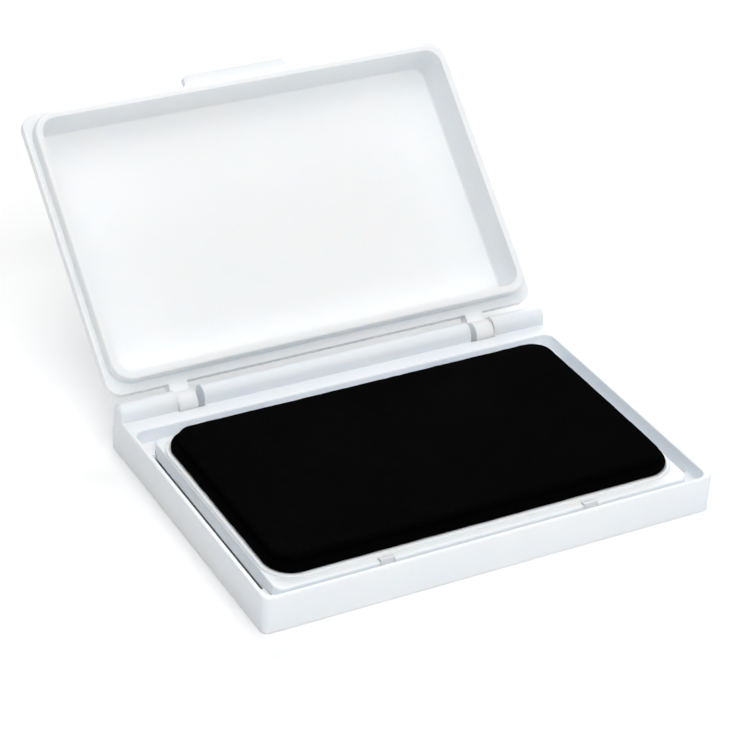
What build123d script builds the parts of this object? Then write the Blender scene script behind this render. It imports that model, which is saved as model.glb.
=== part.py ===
from build123d import *
import os

# Ink pad: a shallow hinged case with a raised, cloth-covered pad on its own tray.
# Millimetres. Origin: centre of the case's underside. +X to the right, +Y to the
# hinge, +Z up. The lid is modelled closed and then swung open to its stop.

# ---- driving sizes ---------------------------------------------------------
case_w = 97.0          # case width, X
case_d = 68.2          # case depth, Y, thumb tab excluded
rim_h = 7.9            # rim above the table
wall = 1.0             # moulded wall of the case
floor_t = 1.2          # case floor
corner_r = 1.5         # case vertical corners
front_shelf = 1.85     # flat of the tray in front of its bead
rear_block = 9.0       # depth of the solid-topped block that carries the hinge
rail_d = 4.2           # depth of the hinge rail
rail_setback = 1.15    # rail's back face in from the case's lowest back face
shelf_h = 4.7          # height where the back wall steps in
lid_thick = 2.5        # thickness of the lid's outer band
lid_room = 6.0         # lid's inner floor above the band's sealing face
lip_h = 2.8            # lid's lip, below the sealing face
tray_gap = 1.1         # tray's edge to the lid's lip, at the sides
pad_w = 86.8           # pad over its brim
pad_rise = 3.4         # pad's printing face above the tray
open_deg = 138.5       # lid swing from shut to its stop
pin_r = 1.2            # hinge stub pins
knuckle_r = 2.4        # hinge knuckles

# ---- named clearances ------------------------------------------------------
pin_play = 0.05        # radial, stub pin in its bore
side_play = 0.15       # knuckle to end block, along X
rim_play = 0.05        # sealing face above the rim when shut
lip_play = 0.15        # lip to the case's opening
stop_play = 0.02       # heel above the notch floor when open
under_lip = 0.25       # lip's edge above the channel floor when shut
clip_play = 0.1        # clips and tongues in their notches
tuck = 0.1             # cloth brim to the tray's bead

# ---- derived positions -----------------------------------------------------
front = -case_d / 2
rear = case_d / 2
rail_rear = rear - rail_setback
rail_front = rail_rear - rail_d
ledge_front = rear - rear_block
open_half = case_w / 2 - wall - 0.05
open_front = front + wall - 0.05
pivot_y = rear - 3.1
pivot_z = rim_h + 0.2
rail_r = rail_d / 2
rail_z = rim_h + 1.1

hinge_x = case_w / 2 - 14.4
knuckle_w = 4.1
knuckle_out = hinge_x + 2.0
knuckle_in = knuckle_out - knuckle_w
block_out = knuckle_out + side_play
pin_len = 1.4
block_in = knuckle_in - pin_len - 0.05
notch_floor = pivot_z - knuckle_r - 0.4

seal_z = rim_h + rim_play
lid_w = case_w + 0.1
lid_rear = pivot_y - 4.25
lid_front = front
lip_half = open_half - lip_play
lip_front = open_front + lip_play
lip_rear = ledge_front - 0.2
lip_t = 1.5
lid_in_half = lip_half - lip_t
lid_in_front = lip_front + lip_t - 0.15
lid_in_rear = lip_rear - lip_t - 0.15
lid_floor_z = seal_z + lid_room
lid_skin = 1.0
lid_top_z = lid_floor_z + lid_skin
band_top = seal_z + lid_thick

plate_half = lid_in_half - tray_gap
plate_front = lid_in_front + 0.25
plate_rear = lid_in_rear - 0.75
plate_z = rim_h - 0.8
plate_r = 2.0
plate_t = 1.2
tongue_low = floor_t + 1.2
tongue_top = seal_z - lip_h - 0.75
channel_z = seal_z - lip_h - under_lip
slot_z = channel_z - 1.5
slot_front = plate_front + 4.3
slot_rear = plate_rear - 1.9
window_z = slot_z + 0.55
bead_h = 0.4
bead_t = 1.0
pad_half = pad_w / 2
pad_front = plate_front + bead_t + tuck + front_shelf
pad_rear = plate_rear - bead_t - tuck - 0.2

tape_t = 0.12
cloth_t = 0.35
brim_h = 1.75
brim_in = 1.05
felt_t = 1.3
pad_top = plate_z + pad_rise
clip_x = case_w / 2 - 26.5
clip_w = 2.9
clip_t = 0.9


def plan(half, y0, y1, r):
    """Rounded rectangle, centred on X, from y0 to y1."""
    return Pos(0, (y0 + y1) / 2) * RectangleRounded(2 * half, y1 - y0, r)


def slab(half, y0, y1, z0, z1, r):
    return extrude(Pos(0, 0, z0) * plan(half, y0, y1, r), z1 - z0)


def drafted(half, y0, y1, r, z0, z1, lean):
    """Slab whose four sides lean inward by `lean` between z0 and z1."""
    low = Pos(0, 0, z0) * plan(half, y0, y1, r)
    high = Pos(0, 0, z1) * plan(half - lean, y0 + lean, y1 - lean, r - lean)
    return loft([low.face(), high.face()], ruled=True)


def block(x0, x1, y0, y1, z0, z1):
    centre = Pos((x0 + x1) / 2, (y0 + y1) / 2, (z0 + z1) / 2)
    return centre * Box(x1 - x0, y1 - y0, z1 - z0)


def rod(x0, x1, r):
    """Cylinder on the hinge axis from x0 to x1."""
    return Pos((x0 + x1) / 2, pivot_y, pivot_z) * Rot(0, 90, 0) * Cylinder(r, x1 - x0)


def edges_at(solid, z):
    """Edges lying flat at height z."""
    found = []
    for edge in solid.edges():
        box = edge.bounding_box()
        if abs(box.min.Z - z) < 1e-4 and abs(box.max.Z - z) < 1e-4:
            found.append(edge)
    return found


def prism_x(points, x0, x1):
    """Closed Y-Z outline carried along X from x0 to x1."""
    outline = make_face(Polyline(*[(x0, y, z) for y, z in points], close=True))
    return extrude(outline, x1 - x0, dir=(1, 0, 0))


# ---- case ------------------------------------------------------------------
def make_case():
    low = slab(case_w / 2, front, rear, 0, shelf_h, corner_r)
    high = slab(case_w / 2, front, rail_rear, 0, rim_h, corner_r)
    body = low + high
    body = fillet(edges_at(body, rim_h), 0.35)
    body = chamfer(edges_at(body, 0), 0.3)

    # hinge rail: upright sides under a round top, softened at both ends
    rail = block(-case_w / 2, case_w / 2, rail_front, rail_rear, shelf_h, rail_z)
    top = Pos(0, (rail_front + rail_rear) / 2, rail_z) * Rot(0, 90, 0)
    rail += top * Cylinder(rail_r, case_w)
    ends = []
    for edge in rail.edges():
        box = edge.bounding_box()
        if abs(box.max.X - box.min.X) < 1e-4 and box.max.Z > rail_z + 0.5:
            ends.append(edge)
    rail = fillet(ends, 0.7)
    rail -= block(-case_w, case_w, rear + 1, rear + 2, 0, 1)
    body += rail

    # well for the tray: a channel floor all round for the lid's lip, the tray's seat
    # inside it, and a deeper slot along each end, cored out from underneath
    body -= slab(open_half, open_front, ledge_front, channel_z, rim_h + 6, 2.0)
    seat = plate_half + clip_play
    body -= slab(seat, plate_front - clip_play, plate_rear + clip_play, floor_t, rim_h, plate_r)
    for side in (-1, 1):
        slot = Pos(side * (seat - 1 + open_half) / 2, (slot_front + slot_rear) / 2, slot_z)
        slot *= RectangleRounded(open_half - seat + 1, slot_rear - slot_front, 1.2)
        body -= extrude(slot, rim_h)
        x0, x1 = sorted((side * (seat + 1.0), side * (case_w / 2 - wall)))
        body -= block(x0, x1, slot_front + 1, slot_rear - 1, -1, slot_z - 1.0)
    inner = []
    for edge in edges_at(body, rim_h):
        box = edge.bounding_box()
        inside = max(abs(box.min.X), abs(box.max.X)) < open_half + 0.01
        if inside and box.min.Y > open_front - 0.01 and box.max.Y < ledge_front + 0.01:
            inner.append(edge)
    body = fillet(inner, 0.3)

    # notches for the lid's knuckles, open behind, and the blind pin bores
    for side in (-1, 1):
        x0, x1 = sorted((side * block_in, side * block_out))
        body -= block(x0, x1, pivot_y - knuckle_r - 0.15, rear + 1, notch_floor, rail_z + 5)
        x0, x1 = sorted((side * (block_out - 0.5), side * (knuckle_out + pin_len + 0.2)))
        body -= rod(x0, x1, pin_r + pin_play)

    # relief pockets under the hinge block keep its walls even
    pocket_w = 8.0
    pitch = (case_w - 3.0) / 10
    for index in range(10):
        x = (index - 4.5) * pitch
        body -= block(x - pocket_w / 2, x + pocket_w / 2, ledge_front + 1.9, rail_rear, -1, 3.5)

    # ribs that carry the tray
    top_z = plate_z - plate_t
    for x in (-24.0, 0.0, 24.0):
        body += block(x - 0.5, x + 0.5, plate_front + 4, plate_rear - 4, floor_t - 0.1, top_z)

    # clips that hook over the tray's front edge; slots for its rear tongues
    for side in (-1, 1):
        x = side * clip_x
        y0 = plate_front + 0.05
        y1 = y0 + clip_t
        nose = [
            (y0, floor_t - 0.1),
            (y1, floor_t - 0.1),
            (y1, plate_z + 0.02),
            (y1 + 0.3, plate_z + 0.02),
            (y1 + 0.3, plate_z + 0.2),
            (y0 + 0.3, plate_z + 0.5),
            (y0, plate_z + 0.5),
        ]
        body += prism_x(nose, x - clip_w / 2, x + clip_w / 2)
        half = clip_w / 2 + clip_play
        body -= block(x - half, x + half, ledge_front - 1, ledge_front + 0.8,
                      tongue_low - clip_play, tongue_top + clip_play)
        body -= block(x - half - 1, x + half + 1, plate_rear - 1, ledge_front, floor_t, rim_h)
    return body


# ---- tray ------------------------------------------------------------------
def make_tray():
    top = slab(plate_half, plate_front, plate_rear, floor_t, plate_z, plate_r)
    top = fillet(edges_at(top, plate_z), 0.25)
    hollow = slab(plate_half - wall, plate_front + 1.2, plate_rear - wall,
                  floor_t - 1, plate_z - plate_t, 0.6)
    tray = top - hollow
    bead = slab(pad_half + tuck + bead_t, pad_front - tuck - bead_t,
                pad_rear + tuck + bead_t, plate_z - 0.1, plate_z + bead_h, 6.5)
    bead -= slab(pad_half + tuck, pad_front - tuck, pad_rear + tuck,
                 plate_z - 1, plate_z + 2, 5.5)
    bead = fillet(edges_at(bead, plate_z + bead_h), 0.35)
    tray += bead
    for side in (-1, 1):
        x = side * clip_x
        half = clip_w / 2 + clip_play
        depth = clip_t + 0.05 + clip_play
        tray -= block(x - half, x + half, plate_front - 1, plate_front + depth, 0, plate_z + 1)
        half = clip_w / 2
        tray += block(x - half, x + half, plate_rear - 0.5, ledge_front + 0.7,
                      tongue_low, tongue_top)
        # the skirt is open along each end of the tray and stands only at the corners
        x0, x1 = sorted((side * (plate_half - wall - 0.5), side * (plate_half + 1)))
        tray -= block(x0, x1, slot_front, slot_rear, floor_t - 1, window_z)
    return tray


# ---- pad -------------------------------------------------------------------
def make_pad():
    z0 = plate_z
    z1 = z0 + tape_t
    z2 = z1 + felt_t
    felt_half = pad_half - cloth_t
    tape = slab(felt_half - 0.4, pad_front + 0.75, pad_rear - 0.75, z0, z1, 4.6)
    felt = slab(felt_half, pad_front + cloth_t, pad_rear - cloth_t, z1, z2, 5.1)
    shrink = brim_in + cloth_t
    foam = slab(pad_half - shrink, pad_front + shrink, pad_rear - shrink,
                z2, pad_top - cloth_t, 4.2)
    foam = fillet(edges_at(foam, pad_top - cloth_t), 0.65)
    brim = slab(pad_half, pad_front, pad_rear, z1, z0 + brim_h, 5.5)
    brim = fillet(edges_at(brim, z0 + brim_h), 0.5)
    body = slab(pad_half - brim_in, pad_front + brim_in, pad_rear - brim_in,
                z1, pad_top, 4.5)
    body = fillet(edges_at(body, pad_top), 0.9)
    cloth = brim + body - felt - foam
    return tape, felt, foam, cloth


# ---- lid -------------------------------------------------------------------
def make_lid():
    band = slab(lid_w / 2, lid_front, lid_rear, seal_z, band_top, 3.0)
    tab_half = 11.7
    tab_out = 2.5
    tab = block(-tab_half, tab_half, lid_front - tab_out, lid_front + 1, seal_z, seal_z + 1.5)
    corners = tab.edges().filter_by(Axis.Z).sort_by(Axis.Y)[:2]
    tab = fillet(corners, 0.8)
    band += tab
    roots = []
    for edge in band.edges().filter_by(Axis.Z):
        middle = edge.center()
        if abs(abs(middle.X) - tab_half) < 0.01 and abs(middle.Y - lid_front) < 0.01:
            roots.append(edge)
    band = fillet(roots, 0.9)
    band = fillet(edges_at(band, band_top), 0.7)

    # raised panel outside, lip inside, one drafted hollow through both
    dome = drafted(lid_in_half + 0.85, lid_in_front - 0.85, lid_in_rear + 0.85, 5.0,
                   band_top - 0.5, lid_top_z, 0.35)
    dome = fillet(edges_at(dome, lid_top_z), 1.4)
    lip = slab(lip_half, lip_front, lip_rear, seal_z - lip_h, seal_z + 0.5, 4.5)
    lip = fillet(edges_at(lip, seal_z - lip_h), 0.45)
    hollow = drafted(lid_in_half, lid_in_front, lid_in_rear, 3.2,
                     seal_z - lip_h, lid_floor_z, 0.4)
    hollow = fillet(edges_at(hollow, lid_floor_z), 0.35)
    lid = band + dome + lip - hollow

    # arms, knuckles, heels and stub pins, one set each side
    for side in (-1, 1):
        x0, x1 = sorted((side * knuckle_in, side * knuckle_out))
        lid += block(x0, x1, lid_rear - 1.5, pivot_y, seal_z, pivot_z + knuckle_r)
        lid += rod(x0, x1, knuckle_r)
        drop = pivot_z - notch_floor - stop_play
        heel = block(x0, x1, pivot_y, pivot_y + 1.28, pivot_z - drop, pivot_z - 1.2)
        lid += heel.rotate(Axis((0, pivot_y, pivot_z), (1, 0, 0)), open_deg)
        x0, x1 = sorted((side * (knuckle_out - 0.5), side * (knuckle_out + pin_len)))
        pin = rod(x0, x1, pin_r)
        tips = pin.edges().sort_by(Axis.X)
        tip = tips[-1] if side > 0 else tips[0]
        lid += chamfer(tip, 0.3)
    return lid.rotate(Axis((0, pivot_y, pivot_z), (1, 0, 0)), -open_deg)


os.makedirs("parts", exist_ok=True)
pad_adhesive, pad_felt, pad_foam, pad_cover = make_pad()
pieces = {
    "base_case": make_case(),
    "pad_tray": make_tray(),
    "pad_adhesive": pad_adhesive,
    "pad_felt": pad_felt,
    "pad_foam": pad_foam,
    "pad_cover": pad_cover,
    "lid_shell": make_lid(),
}
for name, shape in pieces.items():
    solids = shape.solids()
    print(name, "solids", len(solids), "volume", round(shape.volume, 1))
    export_step(shape, "parts/" + name + ".step")
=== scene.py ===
import math

import bmesh
import bpy
from mathutils import Matrix, Vector, noise


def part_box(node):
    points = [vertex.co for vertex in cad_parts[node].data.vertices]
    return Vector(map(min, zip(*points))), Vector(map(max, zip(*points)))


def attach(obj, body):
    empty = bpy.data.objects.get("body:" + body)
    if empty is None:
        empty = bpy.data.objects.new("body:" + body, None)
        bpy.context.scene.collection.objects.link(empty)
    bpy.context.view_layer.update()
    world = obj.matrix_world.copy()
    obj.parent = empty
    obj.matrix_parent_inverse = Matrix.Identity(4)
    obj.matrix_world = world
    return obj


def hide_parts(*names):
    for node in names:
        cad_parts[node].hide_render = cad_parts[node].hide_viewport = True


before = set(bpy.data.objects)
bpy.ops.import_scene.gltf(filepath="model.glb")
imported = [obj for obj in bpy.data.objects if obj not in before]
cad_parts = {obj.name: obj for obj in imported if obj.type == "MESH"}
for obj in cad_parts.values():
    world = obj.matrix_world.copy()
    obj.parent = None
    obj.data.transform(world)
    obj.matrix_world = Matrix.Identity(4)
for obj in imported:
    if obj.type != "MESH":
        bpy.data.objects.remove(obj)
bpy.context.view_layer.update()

MM = 0.001


# ---------------------------------------------------------------- node helpers
class Nodes:
    """A small writer for one material's node tree."""

    def __init__(self, name):
        self.material = bpy.data.materials.new(name)
        self.material.use_nodes = True
        self.tree = self.material.node_tree
        self.tree.nodes.clear()
        self.out = self.tree.nodes.new("ShaderNodeOutputMaterial")
        self.shader = self.tree.nodes.new("ShaderNodeBsdfPrincipled")
        self.link(self.shader.outputs["BSDF"], self.out.inputs["Surface"])
        self.place = self.tree.nodes.new("ShaderNodeTexCoord").outputs["Object"]

    def link(self, source, target):
        self.tree.links.new(source, target)

    def noise(self, scale, detail=3.0, rough=0.5, vector=None, distortion=0.0):
        node = self.tree.nodes.new("ShaderNodeTexNoise")
        node.inputs["Scale"].default_value = scale
        node.inputs["Detail"].default_value = detail
        node.inputs["Roughness"].default_value = rough
        node.inputs["Distortion"].default_value = distortion
        self.link(vector or self.place, node.inputs["Vector"])
        return node.outputs["Fac"]

    def stretch(self, factors):
        node = self.tree.nodes.new("ShaderNodeMapping")
        node.inputs["Scale"].default_value = factors
        self.link(self.place, node.inputs["Vector"])
        return node.outputs["Vector"]

    def wave(self, scale, axis, distortion):
        node = self.tree.nodes.new("ShaderNodeTexWave")
        node.wave_type = "BANDS"
        node.bands_direction = axis
        node.wave_profile = "SIN"
        node.inputs["Scale"].default_value = scale
        node.inputs["Distortion"].default_value = distortion
        node.inputs["Detail"].default_value = 1.0
        node.inputs["Detail Scale"].default_value = 0.6
        self.link(self.place, node.inputs["Vector"])
        return node.outputs["Fac"]

    def math(self, operation, a, b=None):
        node = self.tree.nodes.new("ShaderNodeMath")
        node.operation = operation
        for index, value in enumerate((a, b)):
            if value is None:
                continue
            if isinstance(value, (int, float)):
                node.inputs[index].default_value = value
            else:
                self.link(value, node.inputs[index])
        return node.outputs["Value"]

    def fit(self, value, low, high, to_low, to_high):
        node = self.tree.nodes.new("ShaderNodeMapRange")
        self.link(value, node.inputs["Value"])
        node.inputs["From Min"].default_value = low
        node.inputs["From Max"].default_value = high
        node.inputs["To Min"].default_value = to_low
        node.inputs["To Max"].default_value = to_high
        return node.outputs["Result"]

    def tones(self, value, dark, light, low=0.35, high=0.65):
        node = self.tree.nodes.new("ShaderNodeValToRGB")
        node.color_ramp.elements[0].position = low
        node.color_ramp.elements[0].color = (*dark, 1)
        node.color_ramp.elements[1].position = high
        node.color_ramp.elements[1].color = (*light, 1)
        self.link(value, node.inputs["Fac"])
        return node.outputs["Color"]

    def bump(self, height, distance, strength=1.0, under=None):
        node = self.tree.nodes.new("ShaderNodeBump")
        node.inputs["Strength"].default_value = strength
        node.inputs["Distance"].default_value = distance
        self.link(height, node.inputs["Height"])
        if under is not None:
            self.link(under, node.inputs["Normal"])
        return node.outputs["Normal"]

    def set(self, name, value):
        self.shader.inputs[name].default_value = value

    def feed(self, name, source):
        self.link(source, self.shader.inputs[name])


def moulded_plastic(name, dark, light, gloss_low, gloss_high):
    """Injection-moulded polystyrene: faint flow shading, fine satin texture, slow waviness."""
    n = Nodes(name)
    n.feed("Base Color", n.tones(n.noise(22.0, 4.0, 0.55, distortion=0.6), dark, light))
    grain = n.noise(2600.0, 2.0, 0.6)
    smear = n.noise(60.0, 3.0, 0.5)
    n.feed("Roughness", n.fit(smear, 0.3, 0.7, gloss_low, gloss_high))
    slow = n.bump(smear, 0.00010, 0.35)
    n.feed("Normal", n.bump(grain, 0.000012, 0.5, slow))
    n.set("IOR", 1.49)
    n.set("Subsurface Weight", 0.55)
    n.set("Subsurface Radius", (1.0, 1.25, 1.5))
    n.set("Subsurface Scale", 0.0014)
    return n.material


def woven_cloth(name, dark, light, pitch):
    """Plain weave: threads over and under, fine fibre noise, ink-dark with a little sheen."""
    n = Nodes(name)
    scale = math.pi / (10.0 * pitch)
    across = n.wave(scale, "X", 0.25)
    along = n.wave(scale, "Y", 0.25)
    high = n.math("MULTIPLY", across, along)
    low = n.math("MULTIPLY", n.math("SUBTRACT", 1.0, across), n.math("SUBTRACT", 1.0, along))
    weave = n.math("ADD", high, low)
    fibre_x = n.noise(900.0, 3.0, 0.6, n.stretch((0.25, 3.0, 1.0)))
    fibre_y = n.noise(900.0, 3.0, 0.6, n.stretch((3.0, 0.25, 1.0)))
    fibre = n.math("MULTIPLY", fibre_x, fibre_y)
    blotch = n.noise(70.0, 4.0, 0.6)
    shade = n.math("ADD", n.math("MULTIPLY", weave, 0.5), n.math("MULTIPLY", blotch, 0.5))
    n.feed("Base Color", n.tones(shade, dark, light, 0.30, 0.75))
    n.feed("Roughness", n.fit(blotch, 0.3, 0.7, 0.78, 0.95))
    ground = n.bump(weave, 0.00011, 0.9)
    n.feed("Normal", n.bump(fibre, 0.00006, 0.8, ground))
    n.set("Specular IOR Level", 0.015)
    n.set("Sheen Weight", 0.001)
    n.set("Sheen Roughness", 0.6)
    return n.material


def fibrous(name, dark, light, scale):
    """Felt or foam: matted fibres or open cells."""
    n = Nodes(name)
    mat = n.noise(scale, 5.0, 0.7, distortion=1.2)
    n.feed("Base Color", n.tones(mat, dark, light))
    n.feed("Roughness", n.fit(mat, 0.3, 0.7, 0.85, 1.0))
    n.feed("Normal", n.bump(mat, 0.0003, 0.9))
    n.set("Specular IOR Level", 0.15)
    return n.material


def film(name, dark, light):
    """Adhesive film with trapped-air mottling."""
    n = Nodes(name)
    mottle = n.noise(400.0, 3.0, 0.6)
    n.feed("Base Color", n.tones(mottle, dark, light))
    n.feed("Roughness", n.fit(mottle, 0.3, 0.7, 0.35, 0.6))
    n.feed("Normal", n.bump(mottle, 0.00004, 0.6))
    return n.material


def finish_with(obj, material):
    """Give a piece one material."""
    obj.data.materials.clear()
    obj.data.materials.append(material)


THREAD_PITCH = 0.42 * MM
white_case = moulded_plastic("case_white", (0.835, 0.872, 0.915), (0.87, 0.90, 0.935), 0.30, 0.42)
# the tray's white is lighter and bluer than the case's: painted bounce light on its sides, which sit
# in shade in the channels round the pad
painted_bounce_tray_plastic = moulded_plastic("tray_white", (0.85, 0.895, 0.95), (0.88, 0.92, 0.965), 0.34, 0.46)
# the lid's white is lighter than the case's: painted light on the lid's open hollow
painted_light_lid_plastic = moulded_plastic("lid_white", (0.88, 0.908, 0.94), (0.91, 0.932, 0.955), 0.28, 0.40)
cloth_black = woven_cloth(
    "cloth_black", (0.0004, 0.0004, 0.0005), (0.0014, 0.0014, 0.0016), THREAD_PITCH
)
felt_black = fibrous("felt_black", (0.006, 0.006, 0.007), (0.018, 0.018, 0.020), 1500.0)
foam_black = fibrous("foam_black", (0.006, 0.006, 0.007), (0.020, 0.020, 0.022), 900.0)
tape_film = film("adhesive_film", (0.60, 0.58, 0.52), (0.70, 0.68, 0.62))

for node, material in (
    ("base_case", white_case),
    ("pad_tray", painted_bounce_tray_plastic),
    ("lid_shell", painted_light_lid_plastic),
    ("pad_adhesive", tape_film),
):
    finish_with(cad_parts[node], material)


# ------------------------------------------------------------ soft rounded pads
# points along each straight side and round each corner of a pad's outline
STRAIGHT_X = 150
STRAIGHT_Y = 84
CORNER = 26


def ring(half_x, half_y, radius):
    """Points round a rounded rectangle, anticlockwise from the middle of its +X side."""
    radius = max(min(radius, half_x, half_y), 0.05 * MM)
    cx = half_x - radius
    cy = half_y - radius
    points = []
    for i in range(STRAIGHT_Y // 2):
        points.append((half_x, cy * i / (STRAIGHT_Y // 2)))
    for i in range(CORNER):
        a = math.pi / 2 * i / CORNER
        points.append((cx + radius * math.cos(a), cy + radius * math.sin(a)))
    for i in range(STRAIGHT_X // 2):
        points.append((cx - cx * i / (STRAIGHT_X // 2), half_y))
    full = list(points)
    full.append((0.0, half_y))
    full.extend((-x, y) for x, y in reversed(points[1:]))
    full.append((-half_x, 0.0))
    full.extend((-x, -y) for x, y in points[1:])
    full.append((0.0, -half_y))
    full.extend((x, -y) for x, y in reversed(points[1:]))
    return full


def soft_pad(name, low, high, radius, profile, wobble):
    """Closed pad between box corners. profile: (inset, height above low z), bottom to top."""
    centre_x = (low.x + high.x) / 2
    centre_y = (low.y + high.y) / 2
    half_x = (high.x - low.x) / 2
    half_y = (high.y - low.y) / 2
    mesh = bmesh.new()
    rings = []
    for inset, height in profile:
        row = []
        for x, y in ring(half_x - inset, half_y - inset, radius - inset):
            spot = Vector((centre_x + x, centre_y + y, low.z + height))
            row.append(mesh.verts.new(wobble(spot, inset, height)))
        rings.append(row)
    count = len(rings[0])
    for lower, upper in zip(rings, rings[1:]):
        for i in range(count):
            j = (i + 1) % count
            mesh.faces.new((lower[i], lower[j], upper[j], upper[i]))
    for row, turned in ((rings[0], True), (rings[-1], False)):
        for i in range(count // 2):
            j = i + 1
            opposite = (count - i) % count
            before = count - j
            corners = []
            for index in (i, j, before, opposite):
                if row[index] not in corners:
                    corners.append(row[index])
            if len(corners) < 3:
                continue
            mesh.faces.new(list(reversed(corners)) if turned else corners)
    bmesh.ops.recalc_face_normals(mesh, faces=mesh.faces)
    data = bpy.data.meshes.new(name)
    mesh.to_mesh(data)
    mesh.free()
    data.polygons.foreach_set("use_smooth", [True] * len(data.polygons))
    piece = bpy.data.objects.new(name, data)
    bpy.context.scene.collection.objects.link(piece)
    return piece


def ripple(spot, scale, seed):
    """Smooth noise at a point, the same on every run."""
    return noise.fractal(spot * scale + Vector((seed, seed * 1.7, -seed)), 0.6, 2.1, 4)


def steps(start, stop, count):
    """Evenly spaced values after start, up to and with stop."""
    return [start + (stop - start) * (i + 1) / count for i in range(count)]


cover_low, cover_high = [Vector(c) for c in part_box("pad_cover")]
pad_middle_y = (cover_low.y + cover_high.y) / 2


def cloth_wobble(spot, inset, height):
    """Slack and weave at the edges, nearly flat in the middle."""
    edge = math.exp(-max(inset - 1.2 * MM, 0.0) / (2.2 * MM))
    lift = ripple(spot, 160.0, 3.0) * 0.05 * MM
    lift += ripple(spot, 420.0, 9.0) * 0.05 * MM * edge
    push = ripple(spot, 260.0, 5.0) * 0.09 * MM * edge
    outward = Vector((spot.x, spot.y - pad_middle_y, 0)).normalized()
    top = min(max((height - 0.4 * MM) / (1.0 * MM), 0.0), 1.0)
    return spot + outward * push + Vector((0, 0, lift * top))


def still(spot, inset, height):
    """No slack: the cores keep their plain shape."""
    return spot


# section of the cloth: rolled brim, tucked groove, upright side, tight top edge, slight crown
CROWN_FROM = 2.4 * MM
MIDDLE = 24.2 * MM
TOP_H = 3.24 * MM
CROWN_H = 0.08 * MM
COVER_CORNER = 5.5 * MM
profile = [(t, 0.0) for t in (MIDDLE, 20 * MM, 14 * MM, 8 * MM, 4 * MM, 2 * MM, 1 * MM)]
profile += [(inset * MM, height * MM) for inset, height in (
    (0.45, 0.00),
    (0.20, 0.05),
    (0.07, 0.18),
    (0.02, 0.40),
    (0.00, 0.70),
    (0.00, 0.98),
    (0.03, 1.20),
    (0.11, 1.38),
    (0.26, 1.50),
    (0.48, 1.56),
    (0.72, 1.55),
    (0.98, 1.48),
    (1.20, 1.44),
    (1.34, 1.50),
    (1.40, 1.66),
    (1.35, 1.86),
    (1.27, 2.10),
    (1.22, 2.36),
    (1.21, 2.62),
    (1.25, 2.84),
    (1.36, 3.02),
    (1.55, 3.14),
    (1.82, 3.21),
    (2.14, 3.235),
)]
profile.append((CROWN_FROM, TOP_H))
for t in steps(CROWN_FROM, MIDDLE, 30):
    across = (t - CROWN_FROM) / (MIDDLE - CROWN_FROM)
    profile.append((t, TOP_H + CROWN_H * (1 - (1 - across) ** 2)))
cover = soft_pad("cloth_cover", cover_low, cover_high, COVER_CORNER, profile, cloth_wobble)
finish_with(cover, cloth_black)
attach(cover, "case")
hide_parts("pad_cover")


def core_profile(height, soften):
    """Bottom, side and top of a plain soft core with eased edges."""
    rows = [(t * MM, 0.0) for t in (23.0, 16.0, 8.0, 3.0)]
    rows += [(soften, 0.0), (soften * 0.3, soften * 0.3), (0.0, soften)]
    rows += [(0.0, height - soften), (soften * 0.3, height - soften * 0.3), (soften, height)]
    rows += [(t * MM, height) for t in (3.0, 8.0, 16.0, 23.0)]
    return rows


# each core stays a little inside its own solid, so that it clears the cloth
CORE_INSET = 0.10 * MM
CORE_LIFT = 0.02 * MM
CORE_ROOM = 0.12 * MM
CORE_CORNER = 4.4 * MM
CORE_EDGE = 0.35 * MM
for name, node, material, slot in (
    ("foam_core", "pad_foam", foam_black, "foam_black"),
    ("felt_reservoir", "pad_felt", felt_black, "felt_black"),
):
    low, high = [Vector(c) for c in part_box(node)]
    low += Vector((CORE_INSET, CORE_INSET, CORE_LIFT))
    high -= Vector((CORE_INSET, CORE_INSET, CORE_ROOM))
    rows = core_profile(high.z - low.z, CORE_EDGE)
    piece = soft_pad(name, low, high, CORE_CORNER, rows, still)
    finish_with(piece, material)
    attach(piece, "case")
    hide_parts(node)


# ------------------------------------------------------------------------ stage
FLOOR_HALF = 3.0
FLOOR_DROP = 0.02 * MM
FLOOR_GLOW = 0.10
floor_mesh = bpy.data.meshes.new("floor")
floor_corners = [(x * FLOOR_HALF, y * FLOOR_HALF, 0) for x, y in ((-1, -1), (1, -1), (1, 1), (-1, 1))]
floor_mesh.from_pydata(floor_corners, [], [(0, 1, 2, 3)])
floor = bpy.data.objects.new("floor", floor_mesh)
floor.location.z = -FLOOR_DROP
bpy.context.scene.collection.objects.link(floor)
floor_look = Nodes("floor_pale")
paper = floor_look.tones(floor_look.noise(3.0), (0.93, 0.93, 0.93), (0.95, 0.95, 0.95))
floor_look.feed("Base Color", paper)
floor_look.set("Roughness", 0.9)
floor_look.set("Emission Color", (1.0, 1.0, 1.0, 1.0))
floor_look.set("Emission Strength", FLOOR_GLOW)
floor_look.set("Specular IOR Level", 0.1)
finish_with(floor, floor_look.material)

WORLD_STRENGTH = 0.02
LIGHT_AIM = Vector((0, 0.01, 0.015))

world = bpy.data.worlds.new("studio")
bpy.context.scene.world = world
world.use_nodes = True
sky = world.node_tree.nodes["Background"]
sky.inputs["Color"].default_value = (1.0, 1.0, 1.0, 1)
sky.inputs["Strength"].default_value = WORLD_STRENGTH


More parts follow.
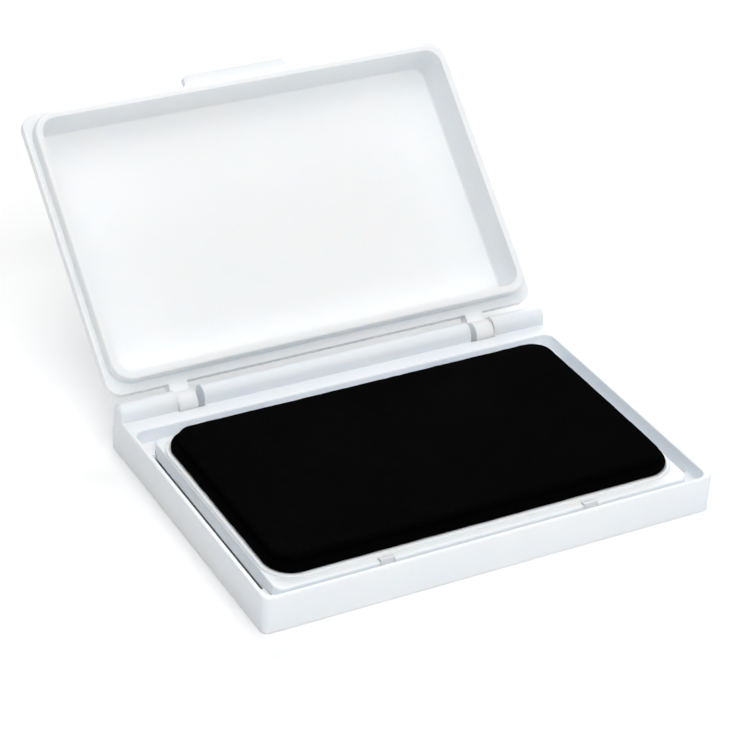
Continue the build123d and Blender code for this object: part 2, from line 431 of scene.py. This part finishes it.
def softbox(name, position, size, power):
    """Rectangular area light that faces the object. Size and position in metres, power in watts."""
    light = bpy.data.lights.new(name, "AREA")
    light.shape = "RECTANGLE"
    light.size, light.size_y = size
    light.energy = power
    lamp = bpy.data.objects.new(name, light)
    lamp.location = position
    lamp.rotation_mode = "QUATERNION"
    lamp.rotation_quaternion = (LIGHT_AIM - Vector(position)).to_track_quat("-Z", "Y")
    bpy.context.scene.collection.objects.link(lamp)


# name, position, size, power
LIGHTS = (
    ("front_high", (-0.10, -0.70, 0.70), (0.6, 0.6), 4.0),
    ("left_high", (-0.60, -0.25, 0.90), (0.7, 0.7), 2.5),
    ("overhead", (0.0, 0.05, 1.20), (0.9, 0.9), 5.4),
    ("back_right", (0.45, 0.90, 0.70), (0.8, 0.6), 6.4),
    ("right_front", (0.65, -0.60, 0.70), (0.7, 0.7), 2.0),
)
for name, position, size, power in LIGHTS:
    softbox(name, position, size, power)

# ----------------------------------------------------------------------- camera
CAMERA_AT = Vector((-221.35, -363.31, 285.53)) * MM
AZIMUTH = math.radians(-30.174)
ELEVATION = math.radians(31.512)
ROLL = math.radians(3.478)
LENS = 124.98
SENSOR = 36.0
SHIFT = (0.0073, -0.0104)
forward = Vector((
    -math.sin(AZIMUTH) * math.cos(ELEVATION),
    math.cos(AZIMUTH) * math.cos(ELEVATION),
    -math.sin(ELEVATION),
))
level_right = Vector((math.cos(AZIMUTH), math.sin(AZIMUTH), 0))
level_up = level_right.cross(forward)
right = level_right * math.cos(ROLL) + level_up * math.sin(ROLL)
up = right.cross(forward)
camera_data = bpy.data.cameras.new("camera")
camera_data.lens = LENS
camera_data.sensor_width = SENSOR
camera_data.shift_x, camera_data.shift_y = SHIFT
camera_data.clip_start = 0.01
camera_data.clip_end = 20.0
camera = bpy.data.objects.new("camera", camera_data)
bpy.context.scene.collection.objects.link(camera)
camera.rotation_mode = "QUATERNION"
camera.rotation_quaternion = Matrix((right, up, -forward)).transposed().to_quaternion()
camera.location = CAMERA_AT
bpy.context.scene.camera = camera
bpy.context.scene.view_settings.view_transform = "Standard"

# ---------------------------------------------------------------- update
bpy.context.view_layer.update()
